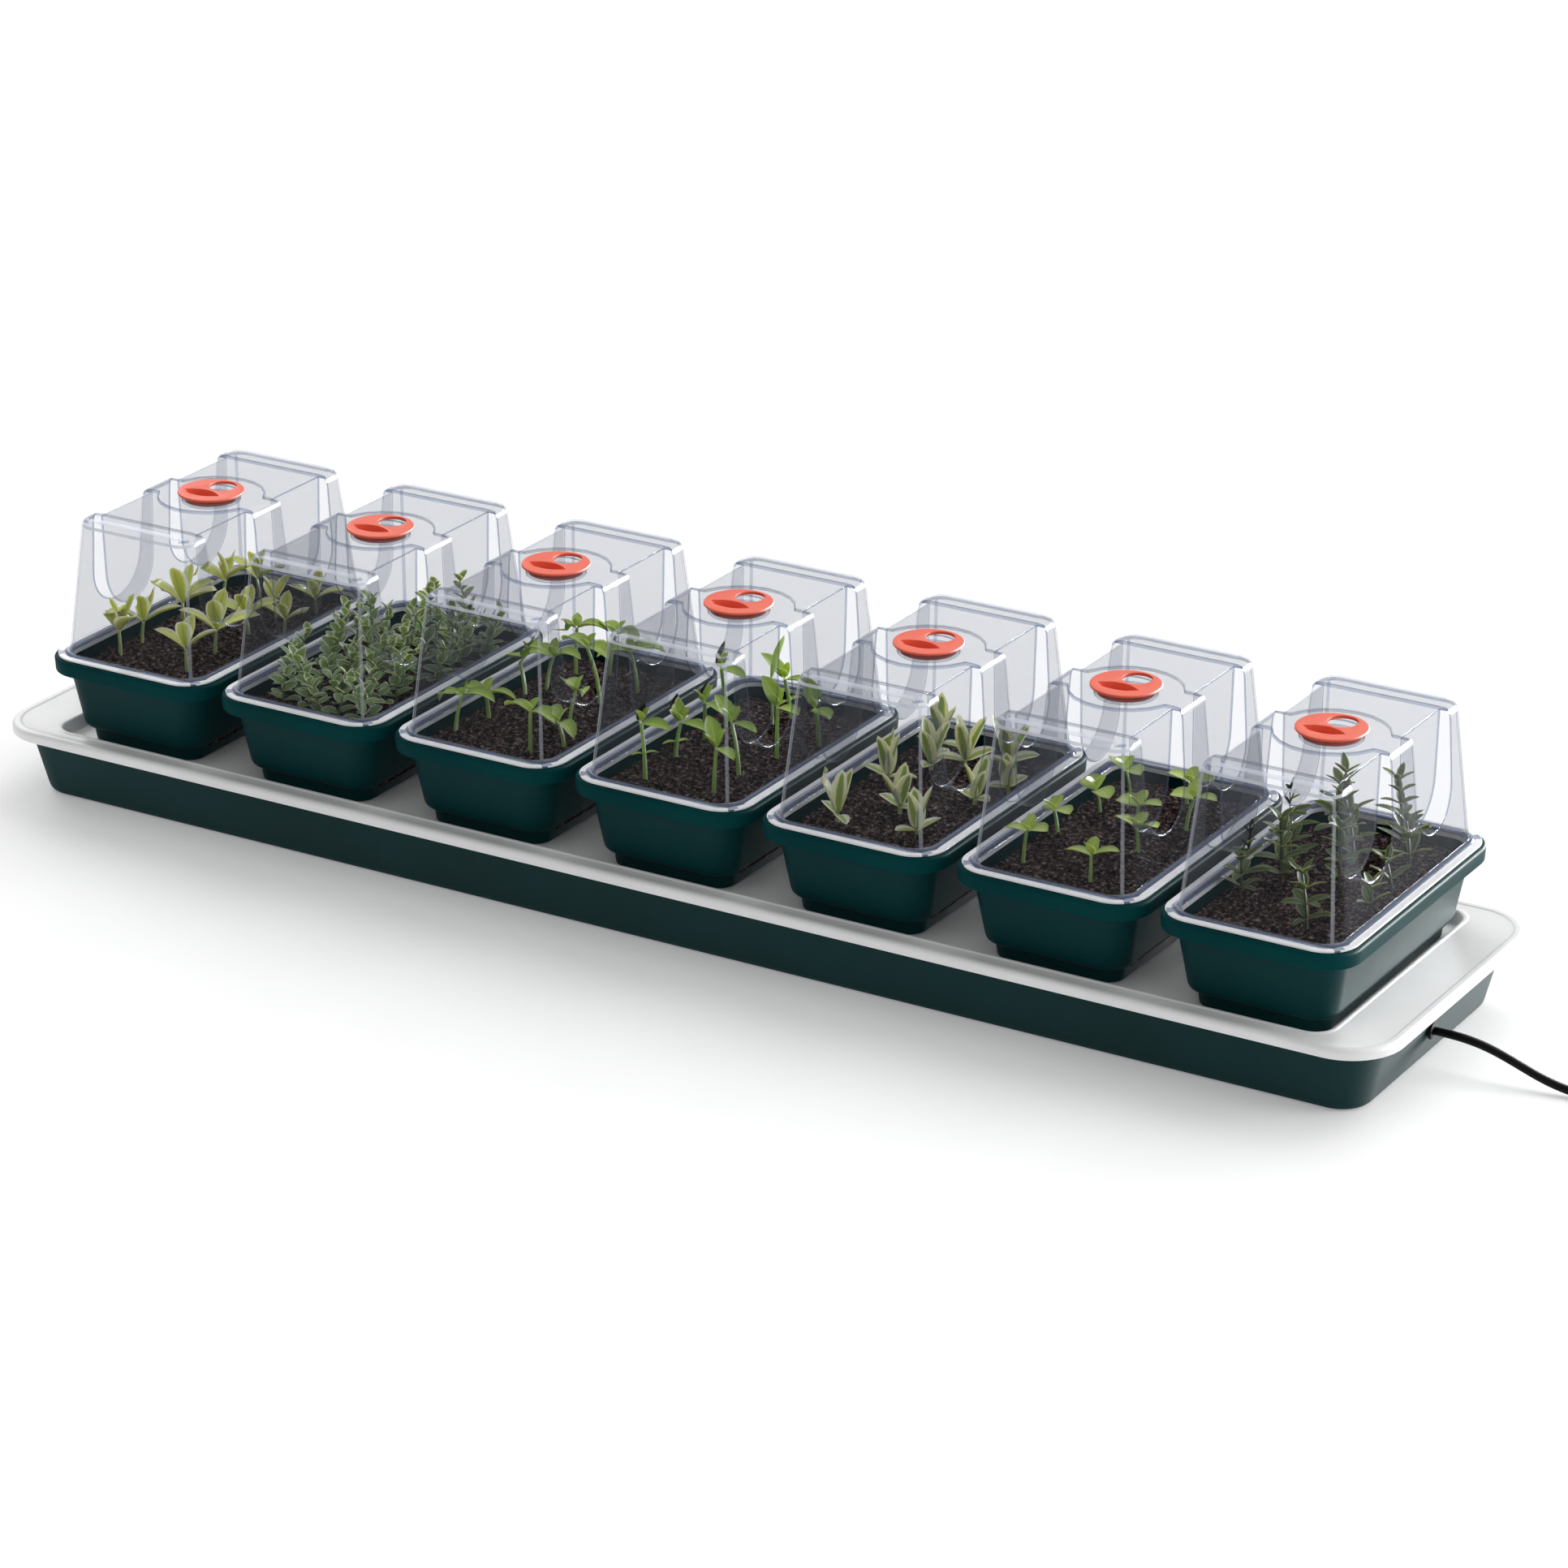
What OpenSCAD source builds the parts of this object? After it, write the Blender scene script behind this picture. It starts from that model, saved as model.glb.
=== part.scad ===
// Heated windowsill propagator: a low-wattage heater tray carrying a row of seven
// seedling trays, each with compost, a clear lid and a rotary vent.
// Millimetres. X runs along the row towards the mains lead, Y to the back, Z up.
// The origin is the middle of the footprint on the windowsill.

/* [Heater base] */
// Overall length over the white rim
base_len = 760; // [740:5:800]
// Overall width over the white rim
base_wid = 178; // [176:1:190]
// Height of the rim top above the sill
base_high = 37.8; // [36:0.1:42]
// Depth of the well below the rim top
well_deep = 6.8; // [5:0.1:8]
// Length of the well at the rim top
well_len = 698; // [694:1:704]
// Width of the well at the rim top
well_wid = 153.4; // [150:0.1:156]
// Corner radius of the rim
rim_round = 27; // [22:1:34]

/* [Trays] */
// Distance between neighbouring trays
pitch = 102.5; // [101:0.1:104]
// How far the whole row stands off centre, towards the lead
row_shift = 3.5; // [0:0.1:4]
// Tray length over the rim, across the row
tray_len = 96.4; // [94:0.1:97]
// Tray width over the rim
tray_wid = 163; // [160:1:166]
// Height of the tray from its foot to its rim top
tray_high = 45.5; // [44:0.5:48]
// Depth of the compost surface below the rim
compost_low = 7; // [6:0.5:12]

/* [Lids] */
// Height of the lid roof above the sill
roof_z = 145.4; // [140:0.1:150]
// Wall thickness of the clear moulding
lid_wall = 0.9; // [0.8:0.1:1.2]

/* [Vents] */
// Diameter of the rotary vent disc
vent_dia = 33.2; // [30:0.1:35]
// Radius of the skirt that the disc turns on
skirt_r = 13.9; // [13:0.1:14.5]

/* [Mains lead] */
// Diameter of the lead
cord_dia = 4; // [4:0.1:4.4]

/* [Hidden] */

corner_steps = 4;
gap = 0.3;
well_floor = base_high - well_deep;
rim_plate = 1.8;
skirt_deep = 5;
pan_wall = 1.5;
casing_wall = 2.2;
casing_top = base_high - rim_plate;
// How far the casing wall stands in from the rim edge at the top, and its slope
casing_in = 7.4;
casing_slope = 0.24;
casing_low_in = casing_in + casing_slope * casing_top;

// Heating element in parallel runs, with the foil above it and the pad below
heat_z = well_floor - pan_wall;
heat_r = 1.4;
heat_runs = 6;
heat_step = 22;
heat_half = 320;
heat_side = (heat_runs - 1) * heat_step / 2;
foil_thick = 0.5;
foil_size = [632, 136];
element_z = heat_z - foil_thick - heat_r;
pad_size = [636, 132, 4];
sleeve_r = 1.8;
sleeve_long = 14;
core_r = 0.8;

tray_foot_z = well_floor;
tray_rim_z = tray_foot_z + tray_high;
tray_skin = 1.2;
band_deep = 7.6;
step_z = tray_foot_z + 7.5;
// Tray body [length, width, corner radius] at its foot, above the step, and under the band
foot_size = [64, 131, 9];
body_size = [72, 140, 12];
body_top_in = 7;
compost_z = tray_rim_z - compost_low;

flange_len = tray_len - 4;
flange_wid = tray_wid - 4;
flange_thick = 1.2;
// Lid [length, width] of the skirt that locates it in the tray
skirt_size = [79, 145.6];
strip_z = roof_z + 1;
niche_y = 31;
niche_half = 20;
niche_low = 94.5;
niche_x = 29;
pad_r = 27;
pad_rise = 0.8;

vent_z = roof_z + pad_rise;
vent_thick = 2.2;
turn_gap = 0.06;
seat_deep = 2.6;
eye = [1.8, 7.4];
eye_r = 7.0;
skirt_wall = 1.1;

cord_r = cord_dia / 2;
gland_y = -7;
gland_z = 17;
gland_x = base_len / 2 - casing_in - casing_slope * (casing_top - gland_z);
gland_hole_r = 3.4;

// Clamp bar, its two screws and the bosses they go into
clamp_x = 350;
clamp_z = 13;
clamp_top = 21;
clamp_size = [8, 22];
boss_r = 3.2;
screw_off = 7;
screw_r = 1.25;
screw_tip_z = 7;

coil_c = [508, -36];
coil_in = 14;
coil_out = 34;
tie_thick = 0.8;
coil_high = 2 * cord_dia;
plug_c = [545, -92];
plug_z = 6.8;
plug_long = 36;
plug_wide = 35;
plug_high = 13.6;
pin_r = 2;
pin_long = 19;
pin_gap = 18.6;

// Route of the lead's centre line from the gland to the coil, and from the coil to the plug
lead_route = [
    [366, -7, 17], [374, -7, 17], [382, -7, 16.8], [390, -7, 16], [398, -7, 14.4],
    [406, -7, 12], [414, -7, 9.2], [422, -6.8, 6.4], [430, -6.4, 4.2], [438, -5.9, 2.8],
    [447, -5.3, 2.2], [458, -4.7, 2], [470, -4.3, 2.2], [482, -4.1, 2.5], [495, -4, 2.8],
    [508, -4, 2.8]
];
tail_route = [
    [540, -36, 6.8], [540.4, -41, 6.8], [541.4, -47, 6.5], [542.8, -53, 5.8],
    [544, -58, 5.4], [544.8, -63, 6], [545, -67, 6.6], [545, -71, 6.8]
];
// Route of one core from the end of the lead to its sleeve; the other mirrors it
core_route = [
    [344, 1, 17], [340, 2, 17.4], [337, 8, 19], [338, 20, 22], [341, 34, 25],
    [344, 46, 27], [342, 53, 27.6], [338, 55, 27.6], [334, 55, 27.6]
];

function row_x(i) = (i - 4) * pitch + row_shift;

// One rounded rectangle as a ring of points: s = [length, width, corner radius, height]
function ring(s, n = corner_steps) = [
    for (c = [[1, -1, -90], [1, 1, 0], [-1, 1, 90], [-1, -1, 180]])
        for (k = [0 : n])
            let (a = c[2] + 90 * k / n)
            [
                c[0] * (s[0] / 2 - s[2]) + s[2] * cos(a),
                c[1] * (s[1] / 2 - s[2]) + s[2] * sin(a),
                s[3]
            ]
];

// Closed skin through a stack of rings with the same number of points
module skin(rings) {
    n = len(rings[0]);
    m = len(rings);
    pts = [for (r = rings) each r];
    sides = [
        for (i = [0 : m - 2])
            for (j = [0 : n - 1])
                let (a = i * n + j, b = i * n + (j + 1) % n)
                each [[a, a + n, b + n], [a, b + n, b]]
    ];
    first = [for (j = [0 : n - 1]) j];
    last = [for (j = [n - 1 : -1 : 0]) (m - 1) * n + j];
    polyhedron(points = pts, faces = concat(sides, [first, last]), convexity = 6);
}

module loft(sizes) {
    skin([for (s = sizes) ring(s)]);
}

function unit(v) = v / norm(v);
function tangent(p, i) =
    unit(p[min(i + 1, len(p) - 1)] - p[max(i - 1, 0)]);

// Round tube of radius r through the points p
module tube(p, r, sides = 8) {
    rings = [
        for (i = [0 : len(p) - 1])
            let (
                t = tangent(p, i),
                side = unit(cross([0, 0, 1], t)),
                up = cross(t, side)
            )
            [for (k = [0 : sides - 1]) p[i] + r * (cos(360 * k / sides) * side + sin(360 * k / sides) * up)]
    ];
    skin([for (q = rings) [for (k = [sides - 1 : -1 : 0]) q[k]]]);
}

module in_row(i) {
    translate([row_x(i), 0, 0]) children();
}

function casing_size(inset, r, z) = [base_len - 2 * inset, base_wid - 2 * inset, r, z];

module base_casing() {
    top_in = casing_in + casing_wall;
    color("#0f3b3c") difference() {
        loft([
            casing_size(casing_low_in + 4.5, 12, 0),
            casing_size(casing_low_in + 1.6, 15, 1.2),
            casing_size(casing_low_in - 0.6, 17, 4),
            casing_size(casing_in, 22, casing_top),
            casing_size(top_in, 20, casing_top),
            casing_size(casing_low_in + 1.9, 14, 4.4),
            casing_size(casing_low_in + 4.4, 12, 2.4)
        ]);
        translate([base_len / 2 - 25, gland_y, gland_z]) rotate([0, 90, 0])
            cylinder(h = 40, r = gland_hole_r, $fn = 48);
    }
    color("#0f3b3c") for (s = [-1, 1])
        translate([clamp_x, gland_y + s * screw_off, 0]) difference() {
            translate([0, 0, 2]) cylinder(h = clamp_z - 2, r = boss_r, $fn = 32);
            translate([0, 0, screw_tip_z - 2]) cylinder(h = clamp_z, r = screw_r - 0.05, $fn = 32);
        }
}

module heater_top() {
    rim = [base_len, base_wid, rim_round];
    under = base_high - rim_plate;
    color("#e6e7e8") loft([
        [well_len - 2, well_wid - 2, 8, well_floor - pan_wall],
        [well_len + 2 * pan_wall - 1, well_wid + 2 * pan_wall - 1, 10, under],
        [base_len - 3.6, base_wid - 3.6, rim_round - 2, under],
        [base_len - 3.6, base_wid - 3.6, rim_round - 2, base_high - skirt_deep],
        [base_len, base_wid, rim_round, base_high - skirt_deep],
        [base_len, base_wid, rim_round, base_high - 2.4],
        [base_len - 1.2, base_wid - 1.2, rim_round - 0.6, base_high - 0.7],
        [base_len - 4, base_wid - 4, rim_round - 2, base_high],
        [well_len, well_wid, 10, base_high],
        [well_len - 1.6, well_wid - 1.6, 9, base_high - 0.8],
        [well_len - 3.6, well_wid - 3.6, 7, well_floor]
    ]);
}

// Heating element laid in long runs against the underside of the well
module heating_cable() {
    color("#d8d3c4") {
        for (k = [0 : heat_runs - 1])
            translate([-heat_half, k * heat_step - heat_side, element_z]) rotate([0, 90, 0])
                cylinder(h = 2 * heat_half, r = heat_r, $fn = 24);
        for (k = [0 : heat_runs - 2])
            translate([(k % 2 == 0 ? -1 : 1) * heat_half, (k + 0.5) * heat_step - heat_side, element_z])
                rotate([0, 0, k % 2 == 0 ? 90 : -90])
                    rotate_extrude(angle = 180, $fn = 48)
                        translate([heat_step / 2, 0]) circle(r = heat_r, $fn = 24);
    }
}

module foil_sheet() {
    color("#c9ccd0") translate([-foil_size[0] / 2, -foil_size[1] / 2, heat_z - foil_thick])
        cube([foil_size[0], foil_size[1], foil_thick]);
}

module insulation_pad() {
    color("#8d8f8c") translate([-pad_size[0] / 2, -pad_size[1] / 2, element_z - heat_r - pad_size[2]])
        cube(pad_size);
}

// Two crimped sleeves on the ends of the heating element
module cable_joints() {
    color("#b23a2e") for (s = [-1, 1])
        translate([heat_half, s * heat_side, element_z]) rotate([0, 90, 0])
            cylinder(h = sleeve_long, r = sleeve_r, $fn = 32);
}

// The lead's two insulated cores, spread from the lead's own centre line to the sleeves
module lead_cores() {
    function pull(y) = gland_y * max(0, 1 - y / 40);
    color("#7b4a2c") for (s = [-1, 1])
        tube([for (q = core_route) [q[0], s * q[1] + pull(q[1]), q[2]]], core_r, 6);
}

// Bar across two bosses that grips the lead, so that a pull never reaches the joints
module cord_clamp() {
    color("#e9e6dc") difference() {
        translate([clamp_x - clamp_size[0] / 2, gland_y - clamp_size[1] / 2, clamp_z])
            cube([clamp_size[0], clamp_size[1], clamp_top - clamp_z]);
        translate([clamp_x - 10, gland_y, gland_z]) rotate([0, 90, 0])
            cylinder(h = 20, r = cord_r + 0.05, $fn = 48);
        for (s = [-1, 1]) translate([clamp_x, gland_y + s * screw_off, 6])
            cylinder(h = 40, r = screw_r + 0.05, $fn = 32);
    }
}

module clamp_screws() {
    color("#b9bcc0") for (s = [-1, 1]) translate([clamp_x, gland_y + s * screw_off, 0]) {
        translate([0, 0, clamp_top]) cylinder(h = 1.8, r = 2.6, $fn = 32);
        translate([0, 0, screw_tip_z]) cylinder(h = clamp_top - screw_tip_z, r = screw_r, $fn = 32);
    }
}

// Snap-in bush that the lead leaves through
module cable_gland() {
    color("#141516") translate([gland_x, gland_y, gland_z]) rotate([0, 90, 0]) difference() {
        union() {
            translate([0, 0, 0.6]) cylinder(h = 1.8, r = 4.4, $fn = 48);
            translate([0, 0, -5]) cylinder(h = 6, r = 3.3, $fn = 48);
            translate([0, 0, -6.4]) cylinder(h = 1.6, r = 4.1, $fn = 48);
        }
        translate([0, 0, -10]) cylinder(h = 20, r = cord_r + 0.05, $fn = 48);
    }
}

module mains_cord() {
    color("#101112") tube(concat([[clamp_x - 6, gland_y, gland_z]], lead_route), cord_r);
}

module cord_coil() {
    color("#101112") translate([coil_c[0], coil_c[1], tie_thick]) rotate_extrude($fn = 64)
        translate([coil_in, 0]) square([coil_out - coil_in, coil_high]);
}

module cord_tail() {
    color("#101112") tube(tail_route, cord_r);
}

// Strap that holds the coil together
module coil_tie() {
    w = coil_out - coil_in;
    color("#2b2c2e") translate([coil_c[0] - coil_out, coil_c[1], 0]) difference() {
        translate([-tie_thick - 1, -4, 0]) cube([w + 2 * tie_thick + 2, 8, coil_high + 2 * tie_thick]);
        translate([-1, -5, tie_thick]) cube([w + 2, 10, coil_high]);
    }
}

// Flat two-pin plug body, pins pointing towards the front
module plug_body() {
    color("#101112") translate([plug_c[0], plug_c[1], plug_z]) {
        translate([0, plug_long / 2 - 1, 0]) rotate([-90, 0, 0]) difference() {
            cylinder(h = 9, r1 = 4.2, r2 = 3.0, $fn = 48);
            translate([0, 0, 4]) cylinder(h = 6, r = cord_r + 0.05, $fn = 48);
        }
        rotate([90, 0, 0]) translate([0, 0, -plug_long / 2]) linear_extrude(plug_long)
            intersection() {
                square([plug_wide, plug_high], center = true);
                circle(r = 17.6, $fn = 64);
            }
    }
}

module plug_pins() {
    color("#c8cacc") for (s = [-1, 1])
        translate([plug_c[0] + s * pin_gap / 2, plug_c[1] - plug_long / 2, plug_z])
            rotate([90, 0, 0]) cylinder(h = pin_long, r = pin_r, $fn = 48);
}

function tray_size(in, r, z) = [tray_len - 2 * in, tray_wid - 2 * in, r, z];
function grown(s, more, z) = [s[0] + more, s[1] + more, s[2] + more / 2, z];

module tray() {
    band_z = tray_rim_z - band_deep;
    color("#0d4446") loft([
        grown(foot_size, 0, tray_foot_z),
        grown(foot_size, 2, step_z - 1),
        grown(body_size, 0, step_z + 1.5),
        tray_size(body_top_in, 13, band_z),
        tray_size(0.2, 18, band_z),
        tray_size(0, 18, tray_rim_z - 1.6),
        tray_size(0.6, 17.4, tray_rim_z - 0.4),
        tray_size(1.8, 16.4, tray_rim_z),
        tray_size(body_top_in + 0.4, 12, tray_rim_z),
        tray_size(body_top_in + tray_skin, 12, tray_rim_z - 2),
        grown(body_size, -2 * tray_skin, step_z + 2.4),
        grown(foot_size, -2 * tray_skin, step_z),
        grown(foot_size, -2, tray_foot_z + tray_skin)
    ]);
}

// Compost fills the tray with a hair's clearance to its walls
module compost() {
    inner_low = step_z + 2.4;
    t = (compost_z - inner_low) / (tray_rim_z - 2 - inner_low);
    low = grown(body_size, -2 * tray_skin - 2 * gap, inner_low + gap);
    top = tray_size(body_top_in + tray_skin + gap, 11, compost_z);
    color("#2c211c") loft([
        grown(foot_size, -3, tray_foot_z + tray_skin + gap),
        grown(foot_size, -3, step_z + 0.1),
        low,
        [low[0] + (top[0] - low[0]) * t, low[1] + (top[1] - low[1]) * t, 11, compost_z]
    ]);
}

// U-shaped hollow in the side of a lid; grow widens it for the inner skin
module niche(side, y, grow) {
    low = niche_low + niche_half;
    translate([side * (niche_x - grow), y, 0]) rotate([90, 0, side * 90])
        linear_extrude(20) union() {
            translate([0, low]) circle(r = niche_half + grow, $fn = 48);
            translate([-niche_half - grow, low]) square([2 * niche_half + 2 * grow, 60]);
        }
}

module niches(grow) {
    for (side = [-1, 1])
        for (y = [-niche_y, niche_y])
            niche(side, y, grow);
}

module lid_outside() {
    difference() {
        loft([
            [skirt_size[0], skirt_size[1], 10, tray_rim_z - 1.8],
            [skirt_size[0], skirt_size[1], 10, tray_rim_z],
            [flange_len, flange_wid, 16, tray_rim_z],
            [flange_len, flange_wid, 16, tray_rim_z + flange_thick],
            [81.5, 150, 11, tray_rim_z + flange_thick],
            [80, 148, 10.5, tray_rim_z + 4],
            [69, 132, 9, strip_z - 6],
            [67, 130, 8.5, strip_z - 2.4],
            [61.5, 124, 6, strip_z]
        ]);
        niches(0);
        translate([-niche_x, -50, roof_z]) cube([2 * niche_x, 100, 5]);
    }
    translate([0, 0, roof_z - 0.5]) cylinder(h = 0.5 + pad_rise, r = pad_r, $fn = 64);
}

module lid_inside() {
    w = 2 * lid_wall;
    difference() {
        loft([
            [skirt_size[0] - w, skirt_size[1] - w, 9, tray_rim_z - 3],
            [skirt_size[0] - w, skirt_size[1] - w, 9, tray_rim_z + 0.4],
            [80 - w, 148 - w, 10, tray_rim_z + 3.6],
            [69 - w, 132 - w, 8, strip_z - 6.5],
            [66.5 - w, 129 - w, 7.5, strip_z - 3.4],
            [60 - w, 122 - w, 6, roof_z - lid_wall]
        ]);
        niches(lid_wall);
        translate([0, 0, vent_z - seat_deep - lid_wall])
            cylinder(h = 10, r = skirt_r + turn_gap + lid_wall, $fn = 64);
    }
}

// Clear lid with a round seat for the vent, and an air hole in the seat's floor
module lid() {
    color("#dfe5ea", 0.45) difference() {
        lid_outside();
        lid_inside();
        translate([0, 0, vent_z - seat_deep]) cylinder(h = 10, r = skirt_r + turn_gap, $fn = 64);
        translate([eye[0], eye[1], vent_z - 10]) cylinder(h = 20, r = eye_r - 0.8, $fn = 32);
    }
}

// Rotary disc with an air hole and a finger recess; its skirt turns in the lid's seat
module vent() {
    color("#e2552f") translate([0, 0, vent_z]) difference() {
        union() {
            cylinder(h = vent_thick, r = vent_dia / 2, $fn = 64);
            translate([0, 0, gap - seat_deep]) cylinder(h = seat_deep, r = skirt_r, $fn = 64);
        }
        translate([0, 0, -5]) cylinder(h = 5, r = skirt_r - skirt_wall, $fn = 64);
        translate([eye[0], eye[1], -5]) cylinder(h = 10, r = eye_r, $fn = 48);
        translate([0, 0, 0.9]) linear_extrude(5) intersection() {
            translate([0, -15.5]) circle(r = 13.5, $fn = 64);
            translate([-0.5, 4]) circle(r = 14, $fn = 64);
        }
    }
}

base_casing();
heater_top();
heating_cable();
foil_sheet();
insulation_pad();
cable_joints();
lead_cores();
cord_clamp();
clamp_screws();
cable_gland();
mains_cord();
cord_coil();
cord_tail();
coil_tie();
plug_body();
plug_pins();
for (i = [1 : 7]) {
    in_row(i) tray();
    in_row(i) compost();
    in_row(i) lid();
    in_row(i) vent();
}
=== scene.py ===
"""Looks of a heated windowsill propagator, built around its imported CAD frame. Metres, Z up."""

import math
import random

import bmesh
import bpy
from mathutils import Matrix, Vector, noise


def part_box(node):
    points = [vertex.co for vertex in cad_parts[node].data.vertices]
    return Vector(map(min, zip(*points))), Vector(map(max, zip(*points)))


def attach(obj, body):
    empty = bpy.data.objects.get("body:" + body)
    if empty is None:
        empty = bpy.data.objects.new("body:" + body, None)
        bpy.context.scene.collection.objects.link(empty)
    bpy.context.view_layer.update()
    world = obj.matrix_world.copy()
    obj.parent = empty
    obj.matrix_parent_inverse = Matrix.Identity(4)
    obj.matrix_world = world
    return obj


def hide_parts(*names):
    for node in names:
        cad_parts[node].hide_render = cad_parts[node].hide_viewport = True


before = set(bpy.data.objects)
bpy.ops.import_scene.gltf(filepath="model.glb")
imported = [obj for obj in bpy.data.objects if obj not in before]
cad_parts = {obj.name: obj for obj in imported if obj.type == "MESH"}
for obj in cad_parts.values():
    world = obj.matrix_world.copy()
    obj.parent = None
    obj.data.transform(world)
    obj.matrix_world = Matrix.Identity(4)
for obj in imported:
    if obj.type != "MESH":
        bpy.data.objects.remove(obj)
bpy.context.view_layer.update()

mm = 0.001
TRAYS = range(1, 8)


def linked(name, data):
    """A new object in the scene."""
    made = bpy.data.objects.new(name, data)
    bpy.context.scene.collection.objects.link(made)
    return made


def settled(made):
    """The object's mesh with its modifiers applied."""
    bpy.context.view_layer.update()
    graph = bpy.context.evaluated_depsgraph_get()
    return bpy.data.meshes.new_from_object(made.evaluated_get(graph))


def discard(*unwanted):
    """Takes helper objects out of the scene."""
    for made in unwanted:
        bpy.data.objects.remove(made)


# ---------------------------------------------------------------- sizes from the frame

def size(node):
    """Extent of a CAD node's box, in metres."""
    low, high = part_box(node)
    return high - low


def middle(node):
    """Centre of a CAD node's box, in metres."""
    low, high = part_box(node)
    return (low + high) / 2


top_low, top_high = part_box("heater_top")
tray_low, tray_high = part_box("tray_4")
lid_low, lid_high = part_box("lid_4")
vent_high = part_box("vent_4")[1]
compost_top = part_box("compost_4")[1].z
row_x = {i: middle(f"tray_{i}").x for i in TRAYS}
well_floor = tray_low.z
tray_rim = tray_high.z


# ---------------------------------------------------------------- camera

# Fitted to the photograph: seen from the front right, a little above; lens and sensor in millimetres
VIEW_AZIMUTH = math.radians(31.0)
VIEW_ELEVATION = math.radians(22.4)
VIEW_DISTANCE = 2.525
AIM = Vector((0.0283, 0.0, 0.0606))
LENS = 122.4
SENSOR = 36
SIGHT = 50

camera = linked("camera", bpy.data.cameras.new("camera"))
bpy.context.scene.camera = camera
camera.data.lens = LENS
camera.data.sensor_width = SENSOR
camera.data.clip_end = SIGHT
back = Vector((
    math.sin(VIEW_AZIMUTH) * math.cos(VIEW_ELEVATION),
    -math.cos(VIEW_AZIMUTH) * math.cos(VIEW_ELEVATION),
    math.sin(VIEW_ELEVATION),
))
camera.location = AIM + VIEW_DISTANCE * back
camera.rotation_euler = (math.pi / 2 - VIEW_ELEVATION, 0, VIEW_AZIMUTH)


# ---------------------------------------------------------------- mains lead

# Middle line of the lead in metres: out of the gland and down to the sill, coil, then on to the plug
CORD_D = 0.004
COIL_CENTRE = (0.508, -0.036)
LEAD_ROUTE = [
    (0.344, -0.007, 0.017), (0.355, -0.007, 0.017), (0.366, -0.007, 0.017),
    (0.374, -0.007, 0.017), (0.382, -0.007, 0.0168), (0.390, -0.007, 0.016),
    (0.398, -0.007, 0.0144), (0.406, -0.007, 0.012), (0.414, -0.007, 0.0092),
    (0.422, -0.0068, 0.0064), (0.430, -0.0064, 0.0042), (0.438, -0.0059, 0.0028),
    (0.447, -0.0053, 0.0022), (0.458, -0.0047, 0.002), (0.470, -0.0043, 0.0022),
    (0.482, -0.0041, 0.0025), (0.495, -0.004, 0.0028),
]
TAIL_ROUTE = [
    (0.540, -0.036, 0.0068), (0.5404, -0.041, 0.0068), (0.5414, -0.047, 0.0065),
    (0.5428, -0.053, 0.0058), (0.544, -0.058, 0.0054), (0.5448, -0.063, 0.006),
    (0.545, -0.067, 0.0066), (0.545, -0.071, 0.0068),
]


def smooth_step(t):
    """Eases from 0 to 1."""
    t = min(max(t, 0.0), 1.0)
    return t * t * (3 - 2 * t)


def coil_points(inner=0.016, outer=0.032, low=0.0028, per_turn=20, jog=0.25):
    """Clockwise turns: five inwards on the sill, four and a quarter outwards on top of them."""
    points = []
    turns_in, turns_out = 5, 4.25
    steps = round((turns_in + turns_out) * per_turn)
    for k in range(steps):
        turn = k / per_turn
        whole = int(turn)
        shift = smooth_step((turn - whole - 1 + jog) / jog)
        if whole < turns_in - 1:
            radius, z = outer - CORD_D * (whole + shift), low
        elif whole < turns_in:
            radius, z = inner, low + CORD_D * shift
        else:
            radius, z = inner + CORD_D * (whole - turns_in + shift), low + CORD_D
        angle = math.pi / 2 - 2 * math.pi * turn
        points.append((
            COIL_CENTRE[0] + radius * math.cos(angle), COIL_CENTRE[1] + radius * math.sin(angle), z,
        ))
    return points


def cord_mesh(name, points, radius):
    """Round tube with closed ends along a smooth line through the points."""
    curve = bpy.data.curves.new(name, "CURVE")
    curve.dimensions = "3D"
    curve.bevel_depth = radius
    curve.bevel_resolution = 4
    curve.resolution_u = 4
    curve.use_fill_caps = True
    spline = curve.splines.new("BEZIER")
    spline.bezier_points.add(len(points) - 1)
    for knot, place in zip(spline.bezier_points, points):
        knot.co = place
        knot.handle_left_type = knot.handle_right_type = "AUTO"
    line = linked(name + "_line", curve)
    mesh = settled(line)
    discard(line)
    mesh.name = name
    mesh.shade_smooth()
    return linked(name, mesh)


lead_points = LEAD_ROUTE + coil_points() + TAIL_ROUTE
lead = cord_mesh("mains_lead", lead_points, CORD_D / 2)
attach(lead, "base")
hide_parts("mains_cord", "cord_coil", "cord_tail")


# ---------------------------------------------------------------- materials

def srgb(*levels):
    """Linear colour for 8-bit screen levels."""
    return tuple(((v / 255 + 0.055) / 1.055) ** 2.4 if v > 10 else v / 255 / 12.92 for v in levels) + (1.0,)


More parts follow.
